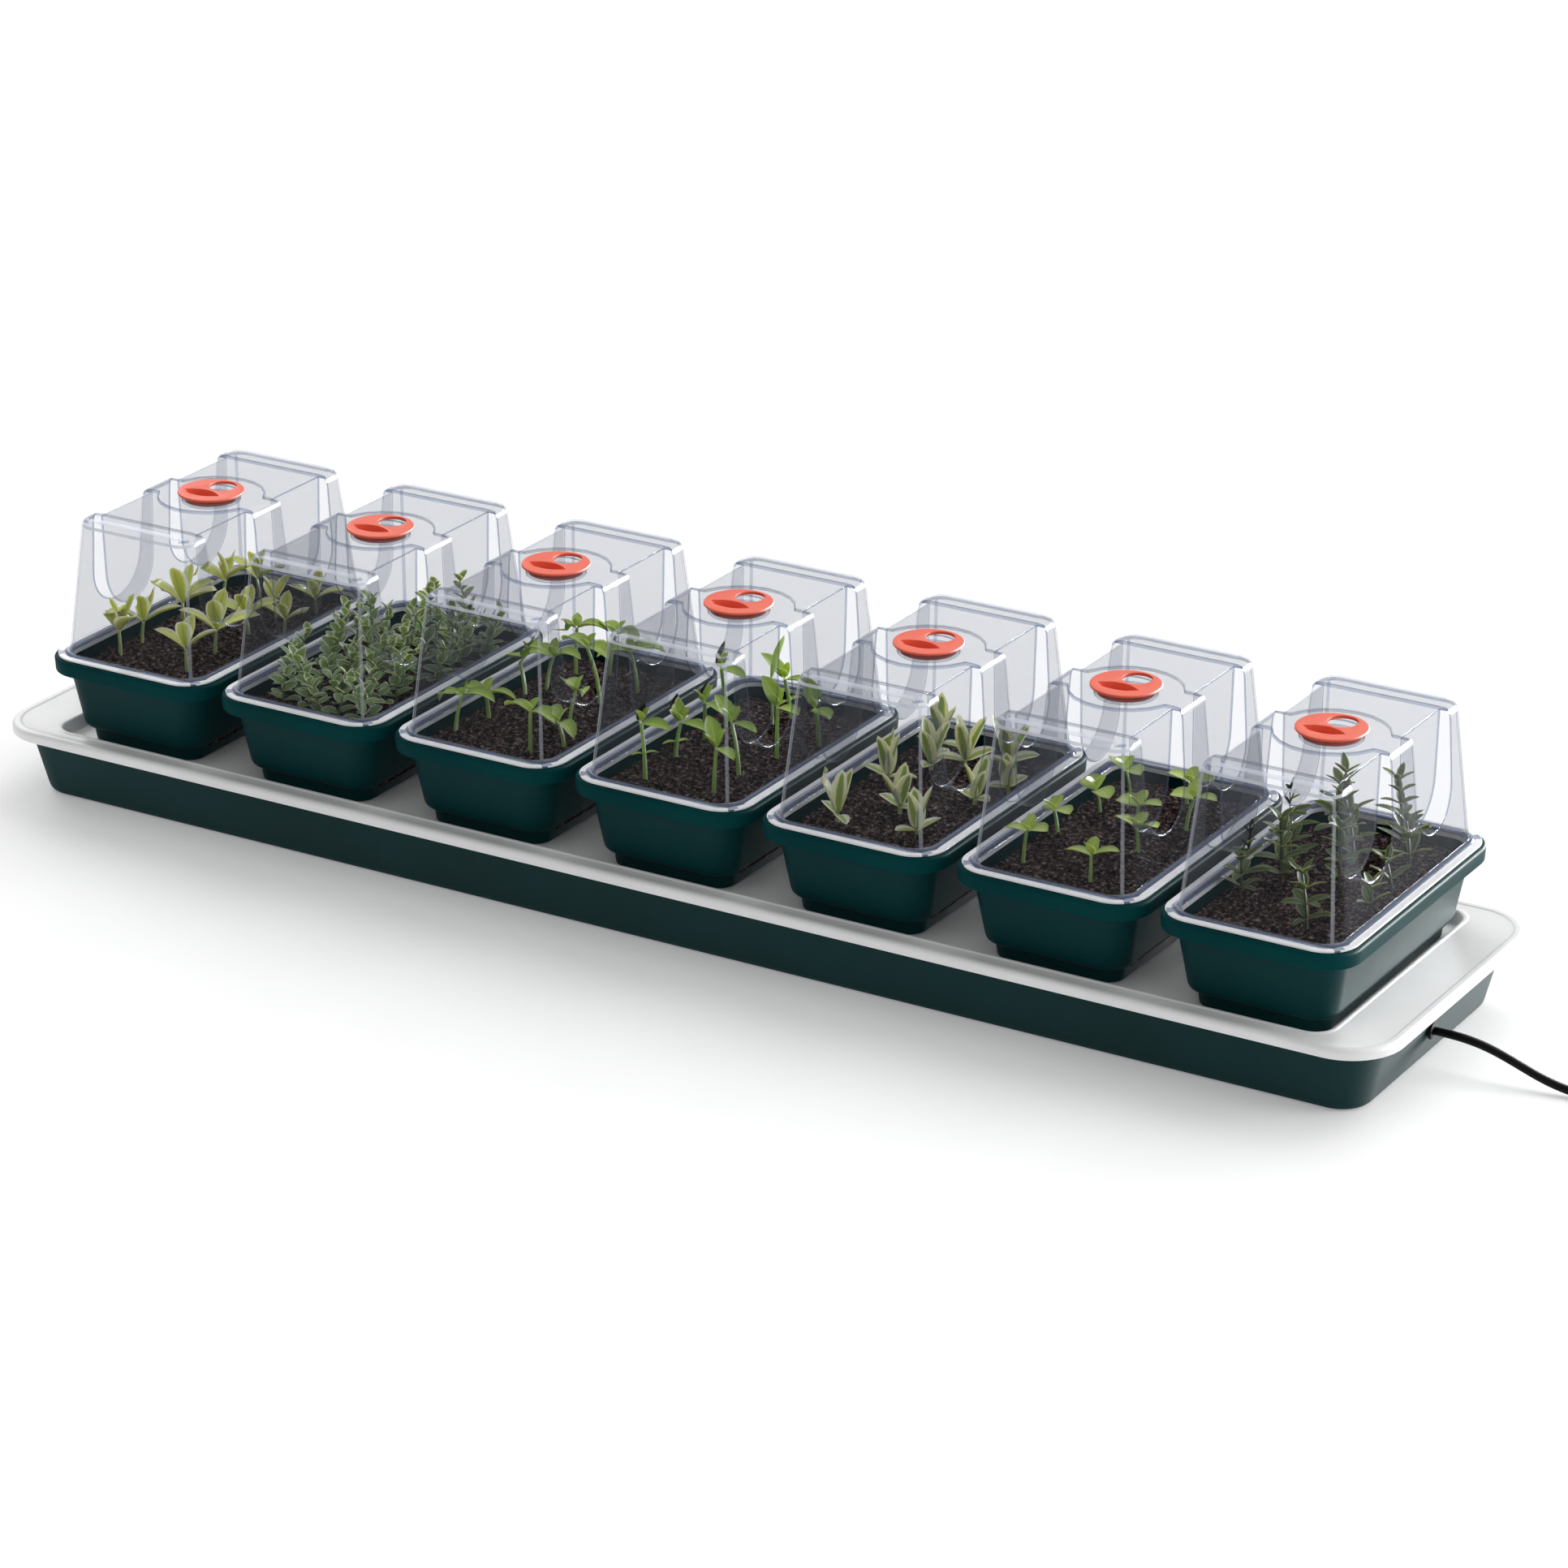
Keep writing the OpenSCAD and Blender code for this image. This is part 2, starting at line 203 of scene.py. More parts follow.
class Surface:
    """One Principled material whose colour, roughness and relief come from object-space noise."""

    def __init__(self, name, **settings):
        self.material = bpy.data.materials.new(name)
        self.material.use_nodes = True
        self.tree = self.material.node_tree
        self.shader = self.tree.nodes["Principled BSDF"]
        self.output = self.tree.nodes["Material Output"]
        self.place = self.tree.nodes.new("ShaderNodeTexCoord").outputs["Object"]
        for socket, value in settings.items():
            self.shader.inputs[socket.replace("_", " ")].default_value = value

    def node(self, kind, **inputs):
        made = self.tree.nodes.new("ShaderNode" + kind)
        for socket, value in inputs.items():
            self.feed(made.inputs[socket.replace("_", " ")], value)
        return made

    def feed(self, socket, value):
        if isinstance(value, bpy.types.NodeSocket):
            self.tree.links.new(value, socket)
        else:
            socket.default_value = value

    def noise(self, scale, detail=3.0, rough=0.55, stretch=None):
        place = self.place
        if stretch:
            place = self.node("Mapping", Vector=place, Scale=stretch).outputs[0]
        return self.node("TexNoise", Vector=place, Scale=scale, Detail=detail, Roughness=rough).outputs["Fac"]

    def ramp(self, value, *stops):
        """Colour ramp with (position, colour) stops."""
        made = self.node("ValToRGB", Fac=value)
        line = made.color_ramp
        line.elements[0].position, line.elements[0].color = stops[0]
        line.elements[1].position, line.elements[1].color = stops[-1]
        for position, colour in stops[1:-1]:
            line.elements.new(position).color = colour
        return made.outputs["Color"]

    def span(self, value, low, high):
        made = self.node("MapRange", Value=value)
        made.inputs["To Min"].default_value = low
        made.inputs["To Max"].default_value = high
        return made.outputs["Result"]

    def arithmetic(self, operation, *values, clamp=False):
        made = self.node("Math")
        made.operation = operation
        made.use_clamp = clamp
        for socket, value in zip(made.inputs, values):
            self.feed(socket, value)
        return made.outputs[0]

    def colour(self, socket):
        self.feed(self.shader.inputs["Base Color"], socket)

    def drift(self, value, dark, light):
        """Colour that drifts from dark to light with value."""
        self.colour(self.ramp(value, (0.3, dark), (0.7, light)))

    def roughness(self, value, low, high):
        self.feed(self.shader.inputs["Roughness"], self.span(value, low, high))

    def relief(self, value, height, strength=1.0):
        bump = self.node("Bump", Height=value, Distance=height, Strength=strength)
        self.feed(self.shader.inputs["Normal"], bump.outputs["Normal"])


def moulded(name, dark, light, rough=(0.3, 0.42), grain=900, relief=0.00004, **settings):
    """Injection-moulded plastic: faint cloudy colour, fine spark-eroded grain, uneven gloss."""
    surface = Surface(name, **settings)
    surface.drift(surface.noise(14, 4), dark, light)
    surface.roughness(surface.noise(45, 5), *rough)
    surface.relief(surface.noise(grain, 2), relief)
    return surface.material


def brushed(name, dark, light, rough=(0.2, 0.4), stretch=(1, 30, 30), **settings):
    """Drawn or rolled metal: the streaks in its colour, gloss and relief run one way."""
    surface = Surface(name, Metallic=1.0, **settings)
    streaks = surface.noise(60, 4, stretch=stretch)
    surface.drift(streaks, dark, light)
    surface.roughness(streaks, *rough)
    surface.relief(streaks, 0.00003)
    return surface.material


def clear_plastic(name, tint, haze, haze_share, rough=0.04, mirror=0.6, power=5.0, gloss=0.5):
    """Thin clear moulding: mostly see-through, mirrors at a glance, with a faint grey haze."""
    surface = Surface(name, IOR=1.5, Specular_IOR_Level=gloss)
    surface.drift(surface.noise(20), haze, tuple(min(1, 1.08 * c) for c in haze))
    surface.roughness(surface.noise(25, 3), rough, rough + 0.05)
    surface.relief(surface.noise(9, 2), 0.0006)
    through = surface.node("BsdfTransparent", Color=tint)
    facing = surface.node("LayerWeight", Blend=0.5).outputs["Facing"]
    glance = surface.span(surface.arithmetic("POWER", facing, power), 0.0, mirror)
    scuffs = surface.span(surface.noise(120, 6, 0.7), haze_share * 0.8, haze_share * 1.2)
    mix = surface.node("MixShader", Fac=surface.arithmetic("ADD", glance, scuffs, clamp=True))
    surface.tree.links.new(through.outputs[0], mix.inputs[1])
    surface.tree.links.new(surface.shader.outputs[0], mix.inputs[2])
    surface.tree.links.new(mix.outputs[0], surface.output.inputs["Surface"])
    return surface.material


def compost_material():
    """Dark clods with paler fibres and grit among them."""
    surface = Surface("compost_mix", Specular_IOR_Level=0.0)
    clods = surface.noise(420, 8, 0.72)
    surface.colour(surface.ramp(
        clods, (0.4, srgb(13, 9, 9)), (0.49, srgb(58, 46, 45)), (0.56, srgb(108, 92, 88)),
        (0.66, srgb(182, 166, 154)),
    ))
    surface.roughness(clods, 0.8, 0.98)
    surface.relief(surface.noise(700, 8, 0.75), 0.0014)
    return surface.material


def leaf_material(name, heart, blade, edge, edge_from):
    """Leaf whose colour runs from midrib to rim by the painted layer 'across'."""
    surface = Surface(
        name, Roughness=0.5, Specular_IOR_Level=0.12,
        Subsurface_Weight=0.7, Subsurface_Radius=(1.0, 1.0, 0.35), Subsurface_Scale=0.0015,
    )
    across = surface.node("Attribute")
    across.attribute_name = "across"
    wobble = surface.arithmetic("MULTIPLY_ADD", surface.noise(320, 4), 0.3, across.outputs["Fac"])
    surface.colour(surface.ramp(
        wobble, (0.1, heart), (0.35, blade), (edge_from, blade), (edge_from + 0.16, edge),
    ))
    surface.roughness(surface.noise(200), 0.35, 0.6)
    surface.relief(surface.noise(420, 3), 0.0003)
    return surface.material


casing_paint = moulded("casing_green", srgb(2, 42, 44), srgb(4, 48, 50), (0.62, 0.7), Specular_IOR_Level=0.2)
tray_paint = moulded("tray_teal", srgb(0, 44, 47), srgb(1, 52, 54), (0.42, 0.52), Specular_IOR_Level=0.1)
# painted light: the rim band is a lighter copy of the tray teal, with less gloss
tray_band_lit = moulded("tray_band_lit", srgb(1, 50, 52), srgb(2, 58, 60), (0.42, 0.52), Specular_IOR_Level=0.03)
# painted shade: the inner walls are a darker copy of the tray teal, without gloss
tray_inside_shaded = moulded("tray_inside_shaded", srgb(1, 40, 42), srgb(2, 50, 52), (0.5, 0.6), Specular_IOR_Level=0.0)
white_paint = moulded(
    "white_moulding", srgb(230, 230, 230), srgb(240, 240, 240), (0.28, 0.42), relief=0.00003,
)
vent_paint = moulded(
    "vent_orange", srgb(224, 84, 56), srgb(236, 104, 76), (0.36, 0.48), Specular_IOR_Level=0.3,
)
black_paint = moulded("black_moulding", srgb(8, 8, 9), srgb(18, 18, 19), (0.35, 0.5), Specular_IOR_Level=0.25)
cord_skin = moulded(
    "cord_black", srgb(3, 3, 3), srgb(9, 9, 9), (0.4, 0.55), grain=1500, Specular_IOR_Level=0.15,
)
tie_skin = moulded("tie_grey", srgb(34, 35, 37), srgb(50, 51, 54), (0.5, 0.65))
pin_metal = brushed("pin_nickel", srgb(176, 178, 180), srgb(214, 214, 212), stretch=(30, 1, 30))
screw_metal = brushed("screw_steel", srgb(150, 152, 156), srgb(200, 200, 202))
foil_metal = brushed("foil_aluminium", srgb(178, 180, 184), srgb(222, 223, 226), (0.25, 0.5), (1, 6, 6))
element_skin = moulded("element_silicone", srgb(204, 198, 182), srgb(226, 221, 206), (0.5, 0.65))
pad_felt = moulded(
    "insulation_felt", srgb(116, 118, 116), srgb(152, 153, 150), (0.85, 0.98), grain=350, relief=0.0006,
)
sleeve_skin = moulded("sleeve_red", srgb(160, 44, 34), srgb(190, 62, 48), (0.4, 0.55))
core_skin = moulded("core_brown", srgb(104, 60, 34), srgb(132, 80, 48), (0.4, 0.55))
clamp_skin = moulded("clamp_ivory", srgb(222, 218, 206), srgb(238, 235, 224), (0.4, 0.55))

# The lid's flat walls carry no gloss: its shine sits on creases, edges, corners and flange, and these also
# carry painted shade and painted highlight lines; the niche walls are painted clearer than the rest
wall_haze = srgb(206, 209, 216)
lid_clear = clear_plastic(
    "lid_clear", (0.878, 0.882, 0.892, 1), wall_haze, 0.012, mirror=0.3, gloss=0.0,
)
# painted light: the niche walls get a far clearer tint than the other walls, which takes out their grey at a
# slant
lid_niche_lightened = clear_plastic(
    "lid_niche_lightened", (0.985, 0.986, 0.99, 1), wall_haze, 0.0, mirror=0.2, gloss=0.0,
)
# painted shade: a darker blue-grey tint and haze on the rounded creases, in place of the dark lines their
# refraction gives
lid_crease_shade = clear_plastic(
    "lid_crease_shade", (0.62, 0.66, 0.74, 1), srgb(170, 178, 196), 0.12, 0.08, 0.9, 3.0,
)
# painted highlight: white haze over a darker tint on the steeper faces of the roof's rounded edge
lid_edge_highlight = clear_plastic(
    "lid_edge_highlight", (0.72, 0.75, 0.8, 1), srgb(240, 243, 250), 0.34, 0.06, 0.6, 3.0, 0.4,
)
# painted shade and painted highlight: a darker tint with a whitish haze on the vertical corners, drawn as
# lines
lid_corner_shade_and_highlight = clear_plastic(
    "lid_corner_shade_and_highlight", (0.78, 0.8, 0.84, 1), srgb(236, 240, 248), 0.14, 0.06, 0.6, 3.0, 0.3,
)
# painted highlight: a mostly white haze over a darker tint makes the flange a bright line
lid_flange_highlight = clear_plastic(
    "lid_flange_highlight", (0.74, 0.77, 0.8, 1), srgb(248, 248, 249), 0.76, 0.1, 0.9, 3.0, 0.2,
)
soil_skin = compost_material()


def dress(node, material):
    """Gives a carried-over CAD node its finish."""
    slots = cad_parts[node].data.materials
    if not slots:
        slots.append(material)
    for k in range(len(slots)):
        slots[k] = material


for node, material in {
    "cable_gland": black_paint, "coil_tie": tie_skin, "plug_body": black_paint, "plug_pins": pin_metal,
    "clamp_screws": screw_metal, "foil_sheet": foil_metal, "heating_cable": element_skin,
    "insulation_pad": pad_felt, "cable_joints": sleeve_skin, "lead_cores": core_skin,
    "cord_clamp": clamp_skin,
}.items():
    dress(node, material)
lead.data.materials.append(cord_skin)


# ---------------------------------------------------------------- mesh tools

def ring(length, width, radius, z, steps):
    """One rounded rectangle, anticlockwise from the front right corner."""
    points = []
    for side_x, side_y, start in ((1, -1, -90), (1, 1, 0), (-1, 1, 90), (-1, -1, 180)):
        for k in range(steps + 1):
            angle = math.radians(start + 90 * k / steps)
            points.append(Vector((
                side_x * (length / 2 - radius) + radius * math.cos(angle),
                side_y * (width / 2 - radius) + radius * math.sin(angle), z,
            )))
    return points


def eased(profile, steps=4):
    """Rounds the corners of a list of (length, width, radius, z, round) levels."""
    levels = []
    last = len(profile) - 1
    for k, level in enumerate(profile):
        here, ease = Vector(level[:4]), level[4]
        if ease == 0 or k in (0, last):
            levels.append(here)
            continue
        before, after = Vector(profile[k - 1][:4]) - here, Vector(profile[k + 1][:4]) - here
        start = here + before * min(ease / reach(before), 0.48)
        end = here + after * min(ease / reach(after), 0.48)
        for n in range(steps + 1):
            t = n / steps
            levels.append((1 - t) ** 2 * start + 2 * t * (1 - t) * here + t * t * end)
    return levels


def reach(step):
    """Length of a step between levels, measured across the wall."""
    return max(math.hypot(step[0] / 2, step[3]), 1e-6)


def circle(radius, steps):
    """Points of a circle round the origin, anticlockwise from +X."""
    return [
        (radius * math.cos(2 * math.pi * k / steps), radius * math.sin(2 * math.pi * k / steps))
        for k in range(steps)
    ]


def band(bm, low, high):
    """Quads between two closed rings of vertices."""
    made = []
    for a in range(len(low)):
        b = (a + 1) % len(low)
        made.append(bm.faces.new((low[a], low[b], high[b], high[a])))
    return made


def stack(bm, rings):
    """Closed skin over a pile of rings, with a cap at each end."""
    for low, high in zip(rings, rings[1:]):
        band(bm, low, high)
    bm.faces.new(list(reversed(rings[0])))
    bm.faces.new(rings[-1])


def loft(bm, levels, steps, looped=False):
    """Skin over rounded rectangles in millimetres; looped joins the last level to the first."""
    rings = [[bm.verts.new(p * mm) for p in ring(*level[:4], steps)] for level in levels]
    if not looped:
        stack(bm, rings)
        return
    for low, high in zip(rings, rings[1:] + rings[:1]):
        band(bm, low, high)


def finish_mesh(name, bm, materials, sharp=32):
    """Mesh with outward faces, shaded smooth up to the sharp angle in degrees."""
    mesh = bpy.data.meshes.new(name)
    bmesh.ops.recalc_face_normals(bm, faces=bm.faces)
    bm.to_mesh(mesh)
    bm.free()
    for material in materials:
        mesh.materials.append(material)
    mesh.shade_smooth()
    mesh.set_sharp_from_angle(angle=math.radians(sharp))
    return mesh


def piece(name, mesh, body, slot, *nodes, at=(0, 0, 0)):
    """Object that rides on a body and hides the CAD nodes it stands in for; slot is not used."""
    made = linked(name, mesh)
    made.location = at
    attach(made, body)
    if nodes:
        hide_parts(*nodes)
    return made


# ---------------------------------------------------------------- heater base

def mm_size(low, high):
    """Length and width in millimetres of the box between two corners."""
    return (high.x - low.x) / mm, (high.y - low.y) / mm


BASE_L, BASE_W = mm_size(top_low, top_high)
BASE_TOP = top_high.z / mm
RIM_PLATE = 1.8
SKIRT = 5.0
FLOOR_SKIN = 1.5


def casing_level(inset, radius, z, ease=0):
    """A level this far in from the base's rim on all four sides."""
    return (BASE_L - 2 * inset, BASE_W - 2 * inset, radius, z, ease)


def casing_mesh():
    """Hollow sloping skirt with a rounded foot; the white top closes it."""
    bm = bmesh.new()
    top = BASE_TOP - RIM_PLATE - 0.2
    foot = 16.0
    loft(bm, eased([
        # the strip it stands on, then up the outside
        casing_level(foot + 8, 8, 1.9),
        casing_level(foot + 8, 8, 0, 0.4),
        casing_level(foot, 15, 0, 4.0),
        casing_level(7.4, 22, top, 0.4),
        # and down the inside
        casing_level(9.6, 20, top, 0.4),
        casing_level(foot + 2.2, 13, 2.2, 3.0),
        casing_level(foot + 8, 8, 2.2, 0),
    ], 5), steps=12, looped=True)
    return finish_mesh("casing_shell", bm, [casing_paint])


def top_mesh():
    """White moulding: rolled rim, outer skirt and the shallow well that holds the trays."""
    bm = bmesh.new()
    rim = 27
    z = BASE_TOP
    floor = well_floor / mm
    loft(bm, eased([
        # underside of the well and of the rim
        (694, 149, 6, floor - FLOOR_SKIN, 0),
        (700, 155, 9, z - RIM_PLATE, 1),
        casing_level(1.8, rim - 2, z - RIM_PLATE, 0.6),
        casing_level(1.8, rim - 2, z - SKIRT, 0.3),
        casing_level(0, rim, z - SKIRT, 0.3),
        # rolled rim, and the shallow step inside it
        casing_level(0, rim, z - 1.2, 1.0),
        casing_level(1.6, rim - 1.6, z, 0.8),
        casing_level(4.2, rim - 4, z, 0.5),
        casing_level(4.9, rim - 4.6, z - 0.5, 0.4),
        # lip round the well, its wall and its floor
        (703, 158.4, 12, z - 0.5, 0.5),
        (701.5, 156.9, 11.5, z, 0.5),
        (698.6, 154.0, 10.5, z, 0.7),
        (697, 152.4, 9.5, z - 1.4, 0.6),
        (694.6, 150, 8, floor, 1.6),
        (680, 136, 4, floor, 0),
    ], 3), steps=12)
    return finish_mesh("heater_top_shell", bm, [white_paint])


piece("casing_shell", casing_mesh(), "base", "green_casing", "base_casing")
piece("heater_top_shell", top_mesh(), "base", "white_top", "heater_top")


# ---------------------------------------------------------------- trays

RIM = tray_rim / mm
RIM_BAND = 7.6
TRAY_OUTSIDE, TRAY_INSIDE_SHADED, TRAY_BAND_LIT = range(3)


def tray_mesh():
    """Tapered tray on a set-in foot, with a deep rolled band round its rim."""
    bm = bmesh.new()
    low = tray_low.z / mm
    length, width = mm_size(tray_low, tray_high)
    under_band = RIM - RIM_BAND
    loft(bm, eased([
        # foot, shoulder and outside wall
        (54, 121, 5, low + 0.6, 0),
        (64, 131, 9, low, 1.0),
        (66, 133, 10, low + 6.8, 0.8),
        (73, 141, 12, low + 8.6, 2.6),
        (82.6, 149, 13, under_band - 0.4, 0.8),
        # rolled band
        (length - 0.6, width - 0.6, 18, under_band, 0.9),
        (length, width, 18, RIM, 1.6),
        # mouth, inside wall and floor
        (81.6, 148.2, 12, RIM, 1.0),
        (79.6, 146.2, 12, RIM - 2.4, 0.8),
        (69.6, 137.6, 11, low + 9.8, 2.0),
        (62, 129, 8, low + 8, 1.0),
        (60, 127, 7, low + 1.4, 0),
    ], 4), steps=10)
    mesh = finish_mesh("tray_shell", bm, [tray_paint, tray_inside_shaded, tray_band_lit])
    for face in mesh.polygons:
        # inner walls take the darker teal, painted shade
        if face.center.xy.dot(face.normal.xy) < 0 and abs(face.normal.z) < 0.9:
            face.material_index = TRAY_INSIDE_SHADED
        # the rim band takes the lighter teal, painted light
        elif face.center.z > (under_band - 0.5) * mm:
            face.material_index = TRAY_BAND_LIT
        else:
            face.material_index = TRAY_OUTSIDE
    return mesh


# ---------------------------------------------------------------- compost

BED_COLUMNS, BED_ROWS = 60, 112
BED_CORNER = 11.0
BED_BORDER = 1.2
GRANULES = 900


def bed_grid(bm, seed, half, top):
    """Crumbly skin of the bed: a grid with rounded corners, lifted by lumps and crumbs of noise."""
    shift = Vector((seed * 37.0, seed * 11.0, 0))
    grid = []
    for m in range(BED_ROWS + 1):
        line = []
        for n in range(BED_COLUMNS + 1):
            x, y = (2 * n / BED_COLUMNS - 1) * half.x, (2 * m / BED_ROWS - 1) * half.y
            over = Vector((abs(x) - half.x + BED_CORNER, abs(y) - half.y + BED_CORNER))
            if over.x > 0 and over.y > 0:
                over *= max(over) / over.length
                x = math.copysign(half.x - BED_CORNER + over.x, x)
                y = math.copysign(half.y - BED_CORNER + over.y, y)
            border = n in (0, BED_COLUMNS) or m in (0, BED_ROWS)
            here = Vector((x, y, 0)) + shift
            lump = noise.fractal(here * 0.08, 1.0, 2.0, 3)
            crumb = noise.noise(here * 0.42) + 0.6 * noise.noise(here * 0.9)
            z = top - BED_BORDER if border else top - 0.2 + 1.1 * lump + 0.75 * crumb
            line.append(bm.verts.new(Vector((x, y, z)) * mm))
        grid.append(line)
    for low, high in zip(grid, grid[1:]):
        for n in range(BED_COLUMNS):
            bm.faces.new((low[n], low[n + 1], high[n + 1], high[n]))
    return grid


def bed_sides(bm, grid, levels):
    """Closes the grid underneath: walls that draw in to each (shrink, z) level, and a floor."""
    edge = grid[0][:-1] + [line[-1] for line in grid[:-1]]
    edge += grid[-1][:0:-1] + [line[0] for line in grid[:0:-1]]
    for shrink, z in levels:
        under = [bm.verts.new(Vector((v.co.x * shrink, v.co.y * shrink, z * mm))) for v in edge]
        band(bm, under, edge)
        edge = under
    bm.faces.new(list(reversed(edge)))


def granules(bm, draw, length, width, top):
    """Loose granules pressed into the bed: one faceted ball, turned, squashed and roughened."""
    ball = bmesh.new()
    bmesh.ops.create_icosphere(ball, subdivisions=1, radius=1.0)
    knobs = [v.co.copy() for v in ball.verts]
    facets = [[v.index for v in face.verts] for face in ball.faces]
    ball.free()
    for _ in range(GRANULES):
        x, y = draw.uniform(-0.47, 0.47) * length, draw.uniform(-0.48, 0.48) * width
        grain = draw.uniform(0.4, 1.15) * (1.7 if draw.random() < 0.08 else 1)
        angle = draw.uniform(0, 6)
        turn = Matrix.Rotation(angle, 3, Vector((draw.random(), draw.random(), draw.random() + 0.1)))
        squash = Vector((draw.uniform(0.7, 1.5), draw.uniform(0.6, 1.1), draw.uniform(0.5, 0.8))) * grain
        place = Vector((x, y, top + draw.uniform(-0.4, 0.7)))
        made = []
        for knob in knobs:
            knob = turn @ Vector(a * b for a, b in zip(knob, squash)) * draw.uniform(0.8, 1.2)
            made.append(bm.verts.new((knob + place) * mm))
        for facet in facets:
            bm.faces.new([made[k] for k in facet])


def compost_mesh(seed):
    """Bed with a crumbly top, inside the tray's walls."""
    bm = bmesh.new()
    bed_low, bed_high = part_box("compost_4")
    length, width = mm_size(bed_low, bed_high)
    top, low = compost_top / mm, bed_low.z / mm
    grid = bed_grid(bm, seed, Vector((length / 2, width / 2)), top)
    bed_sides(bm, grid, ((0.985, top - 6), (0.9, low + 6), (0.88, low)))
    granules(bm, random.Random(seed), length, width, top)
    return finish_mesh(f"compost_bed_{seed}", bm, [soil_skin], 50)


tray_shape = tray_mesh()
for i in TRAYS:
    at = (row_x[i], 0, 0)
    piece(f"tray_shell_{i}", tray_shape, f"tray_set_{i}", "teal_tray", f"tray_{i}", at=at)
    piece(f"compost_bed_{i}", compost_mesh(i), f"tray_set_{i}", "compost", f"compost_{i}", at=at)


# ---------------------------------------------------------------- lids

NICHE_X, NICHE_Y, NICHE_HALF, NICHE_ARC, NICHE_LOW = 29.0, 31.0, 20.0, 18.6, 94.5
LID_L, LID_W = mm_size(lid_low, lid_high)
LID_WALL = 0.8
# The sunk roof panel, the raised strips at its ends, and a height that is clear of everything
ROOF, ROOF_TOP, ABOVE = 145.4, 146.4, 170
VENT_R = size("vent_4").x / mm / 2
VENT_TOP = vent_high.z / mm
VENT_SEAT = VENT_TOP - 2.2
SEAT_R = 13.96
SEAT_FLOOR = VENT_SEAT - 2.6
# The vent's air hole; the lid has one like it underneath
EYE = (1.8, 7.4)
EYE_R = 7.0
# Lid materials: clear wall, painted dark crease line, flange with painted highlight, niche wall painted
# clearer, roof edge with painted highlight, corner with painted shade and highlight
CLEAR, CREASE, FLANGE, NICHE, EDGE, CORNER = range(6)


def cutter(bm_shape, name):
    """A bare object that others are cut with, or cut from."""
    mesh = bpy.data.meshes.new(name)
    bmesh.ops.recalc_face_normals(bm_shape, faces=bm_shape.faces)
    bm_shape.to_mesh(mesh)
    bm_shape.free()
    return linked(name, mesh)


def prism(bm, outline, low, high):
    """Closed prism from an outline of (a, b) points, placed by low(a, b) and high(a, b)."""
    stack(bm, [[bm.verts.new(end(a, b)) for a, b in outline] for end in (low, high)])


def upright(name, outline, centre, low, high):
    """Cutter with this outline in plan, round centre, that stands from low to high."""
    bm = bmesh.new()
    prism(
        bm, outline,
        lambda a, b: Vector((centre[0] + a, centre[1] + b, low)) * mm,
        lambda a, b: Vector((centre[0] + a, centre[1] + b, high)) * mm,
    )
    return cutter(bm, name)


def disc(radius, low, high, centre=(0, 0), steps=64, front=-100):
    """A round cutter, cut off straight at front along Y."""
    outline = [(a, b) for a, b in circle(radius, steps) if centre[1] + b > front]
    return upright("disc_cutter", outline, centre, low, high)


def lens(centre, half_long, half_wide, low, high, steps=16):
    """Cutter shaped like a lens lying along X."""
    outline = []
    for side in (1, -1):
        for k in range(steps):
            t = -1 + 2 * k / steps
            outline.append((side * -t * half_long, side * half_wide * (1 - t * t)))
    return upright("lens_cutter", outline, centre, low, high)


def cut(target, tool):
    """Takes the tool's shape out of the target, when the target is settled."""
    modifier = target.modifiers.new("cut", "BOOLEAN")
    modifier.object = tool
    modifier.operation = "DIFFERENCE"
    modifier.solver = "EXACT"


def round_edges(made, width, segments, angle):
    """Rounds every edge that turns by more than this angle in degrees."""
    bevel = made.modifiers.new("rounds", "BEVEL")
    bevel.width = width * mm
    bevel.segments = segments
    bevel.limit_method = "ANGLE"
    bevel.angle_limit = math.radians(angle)
    return bevel


def niche_cutters():
    """Four U-shaped hollows in the long sides."""
    bm = bmesh.new()
    arc = 14
    low_z = NICHE_LOW + NICHE_HALF
    outline = [(NICHE_HALF + 0.8, ABOVE), (-NICHE_HALF - 0.8, ABOVE)]
    for k in range(arc + 1):
        angle = math.pi + math.pi * k / arc
        outline.append((NICHE_ARC * math.cos(angle), low_z + NICHE_HALF * math.sin(angle)))
    for side in (-1, 1):
        for y in (-NICHE_Y, NICHE_Y):
            prism(
                bm, outline,
                lambda a, b: Vector((side * NICHE_X, y + a, b)) * mm,
                lambda a, b: Vector((side * 60, y + a, b)) * mm,
            )
    return cutter(bm, "niche_cutter")


def roof_cutter():
    """Sinks the roof panel between the end strips, leaving the vent pad that flares to both sides."""
    bm = bmesh.new()
    strip, waist, side = 51, 10.5, 40
    pad, flare, flare_from = 27.0, 8, 22
    for end in (-1, 1):
        outline = [(-side, strip * end), (side, strip * end), (side, waist * end)]
        for k in range(flare + 1):
            angle = math.radians(flare_from + (180 - 2 * flare_from) * k / flare)
            outline.append((pad * math.cos(angle), end * pad * math.sin(angle)))
        outline.append((-side, waist * end))
        prism(
            bm, outline,
            lambda a, b: Vector((a, b, ROOF)) * mm,
            lambda a, b: Vector((a, b, ROOF + 20)) * mm,
        )
    return cutter(bm, "roof_cutter")


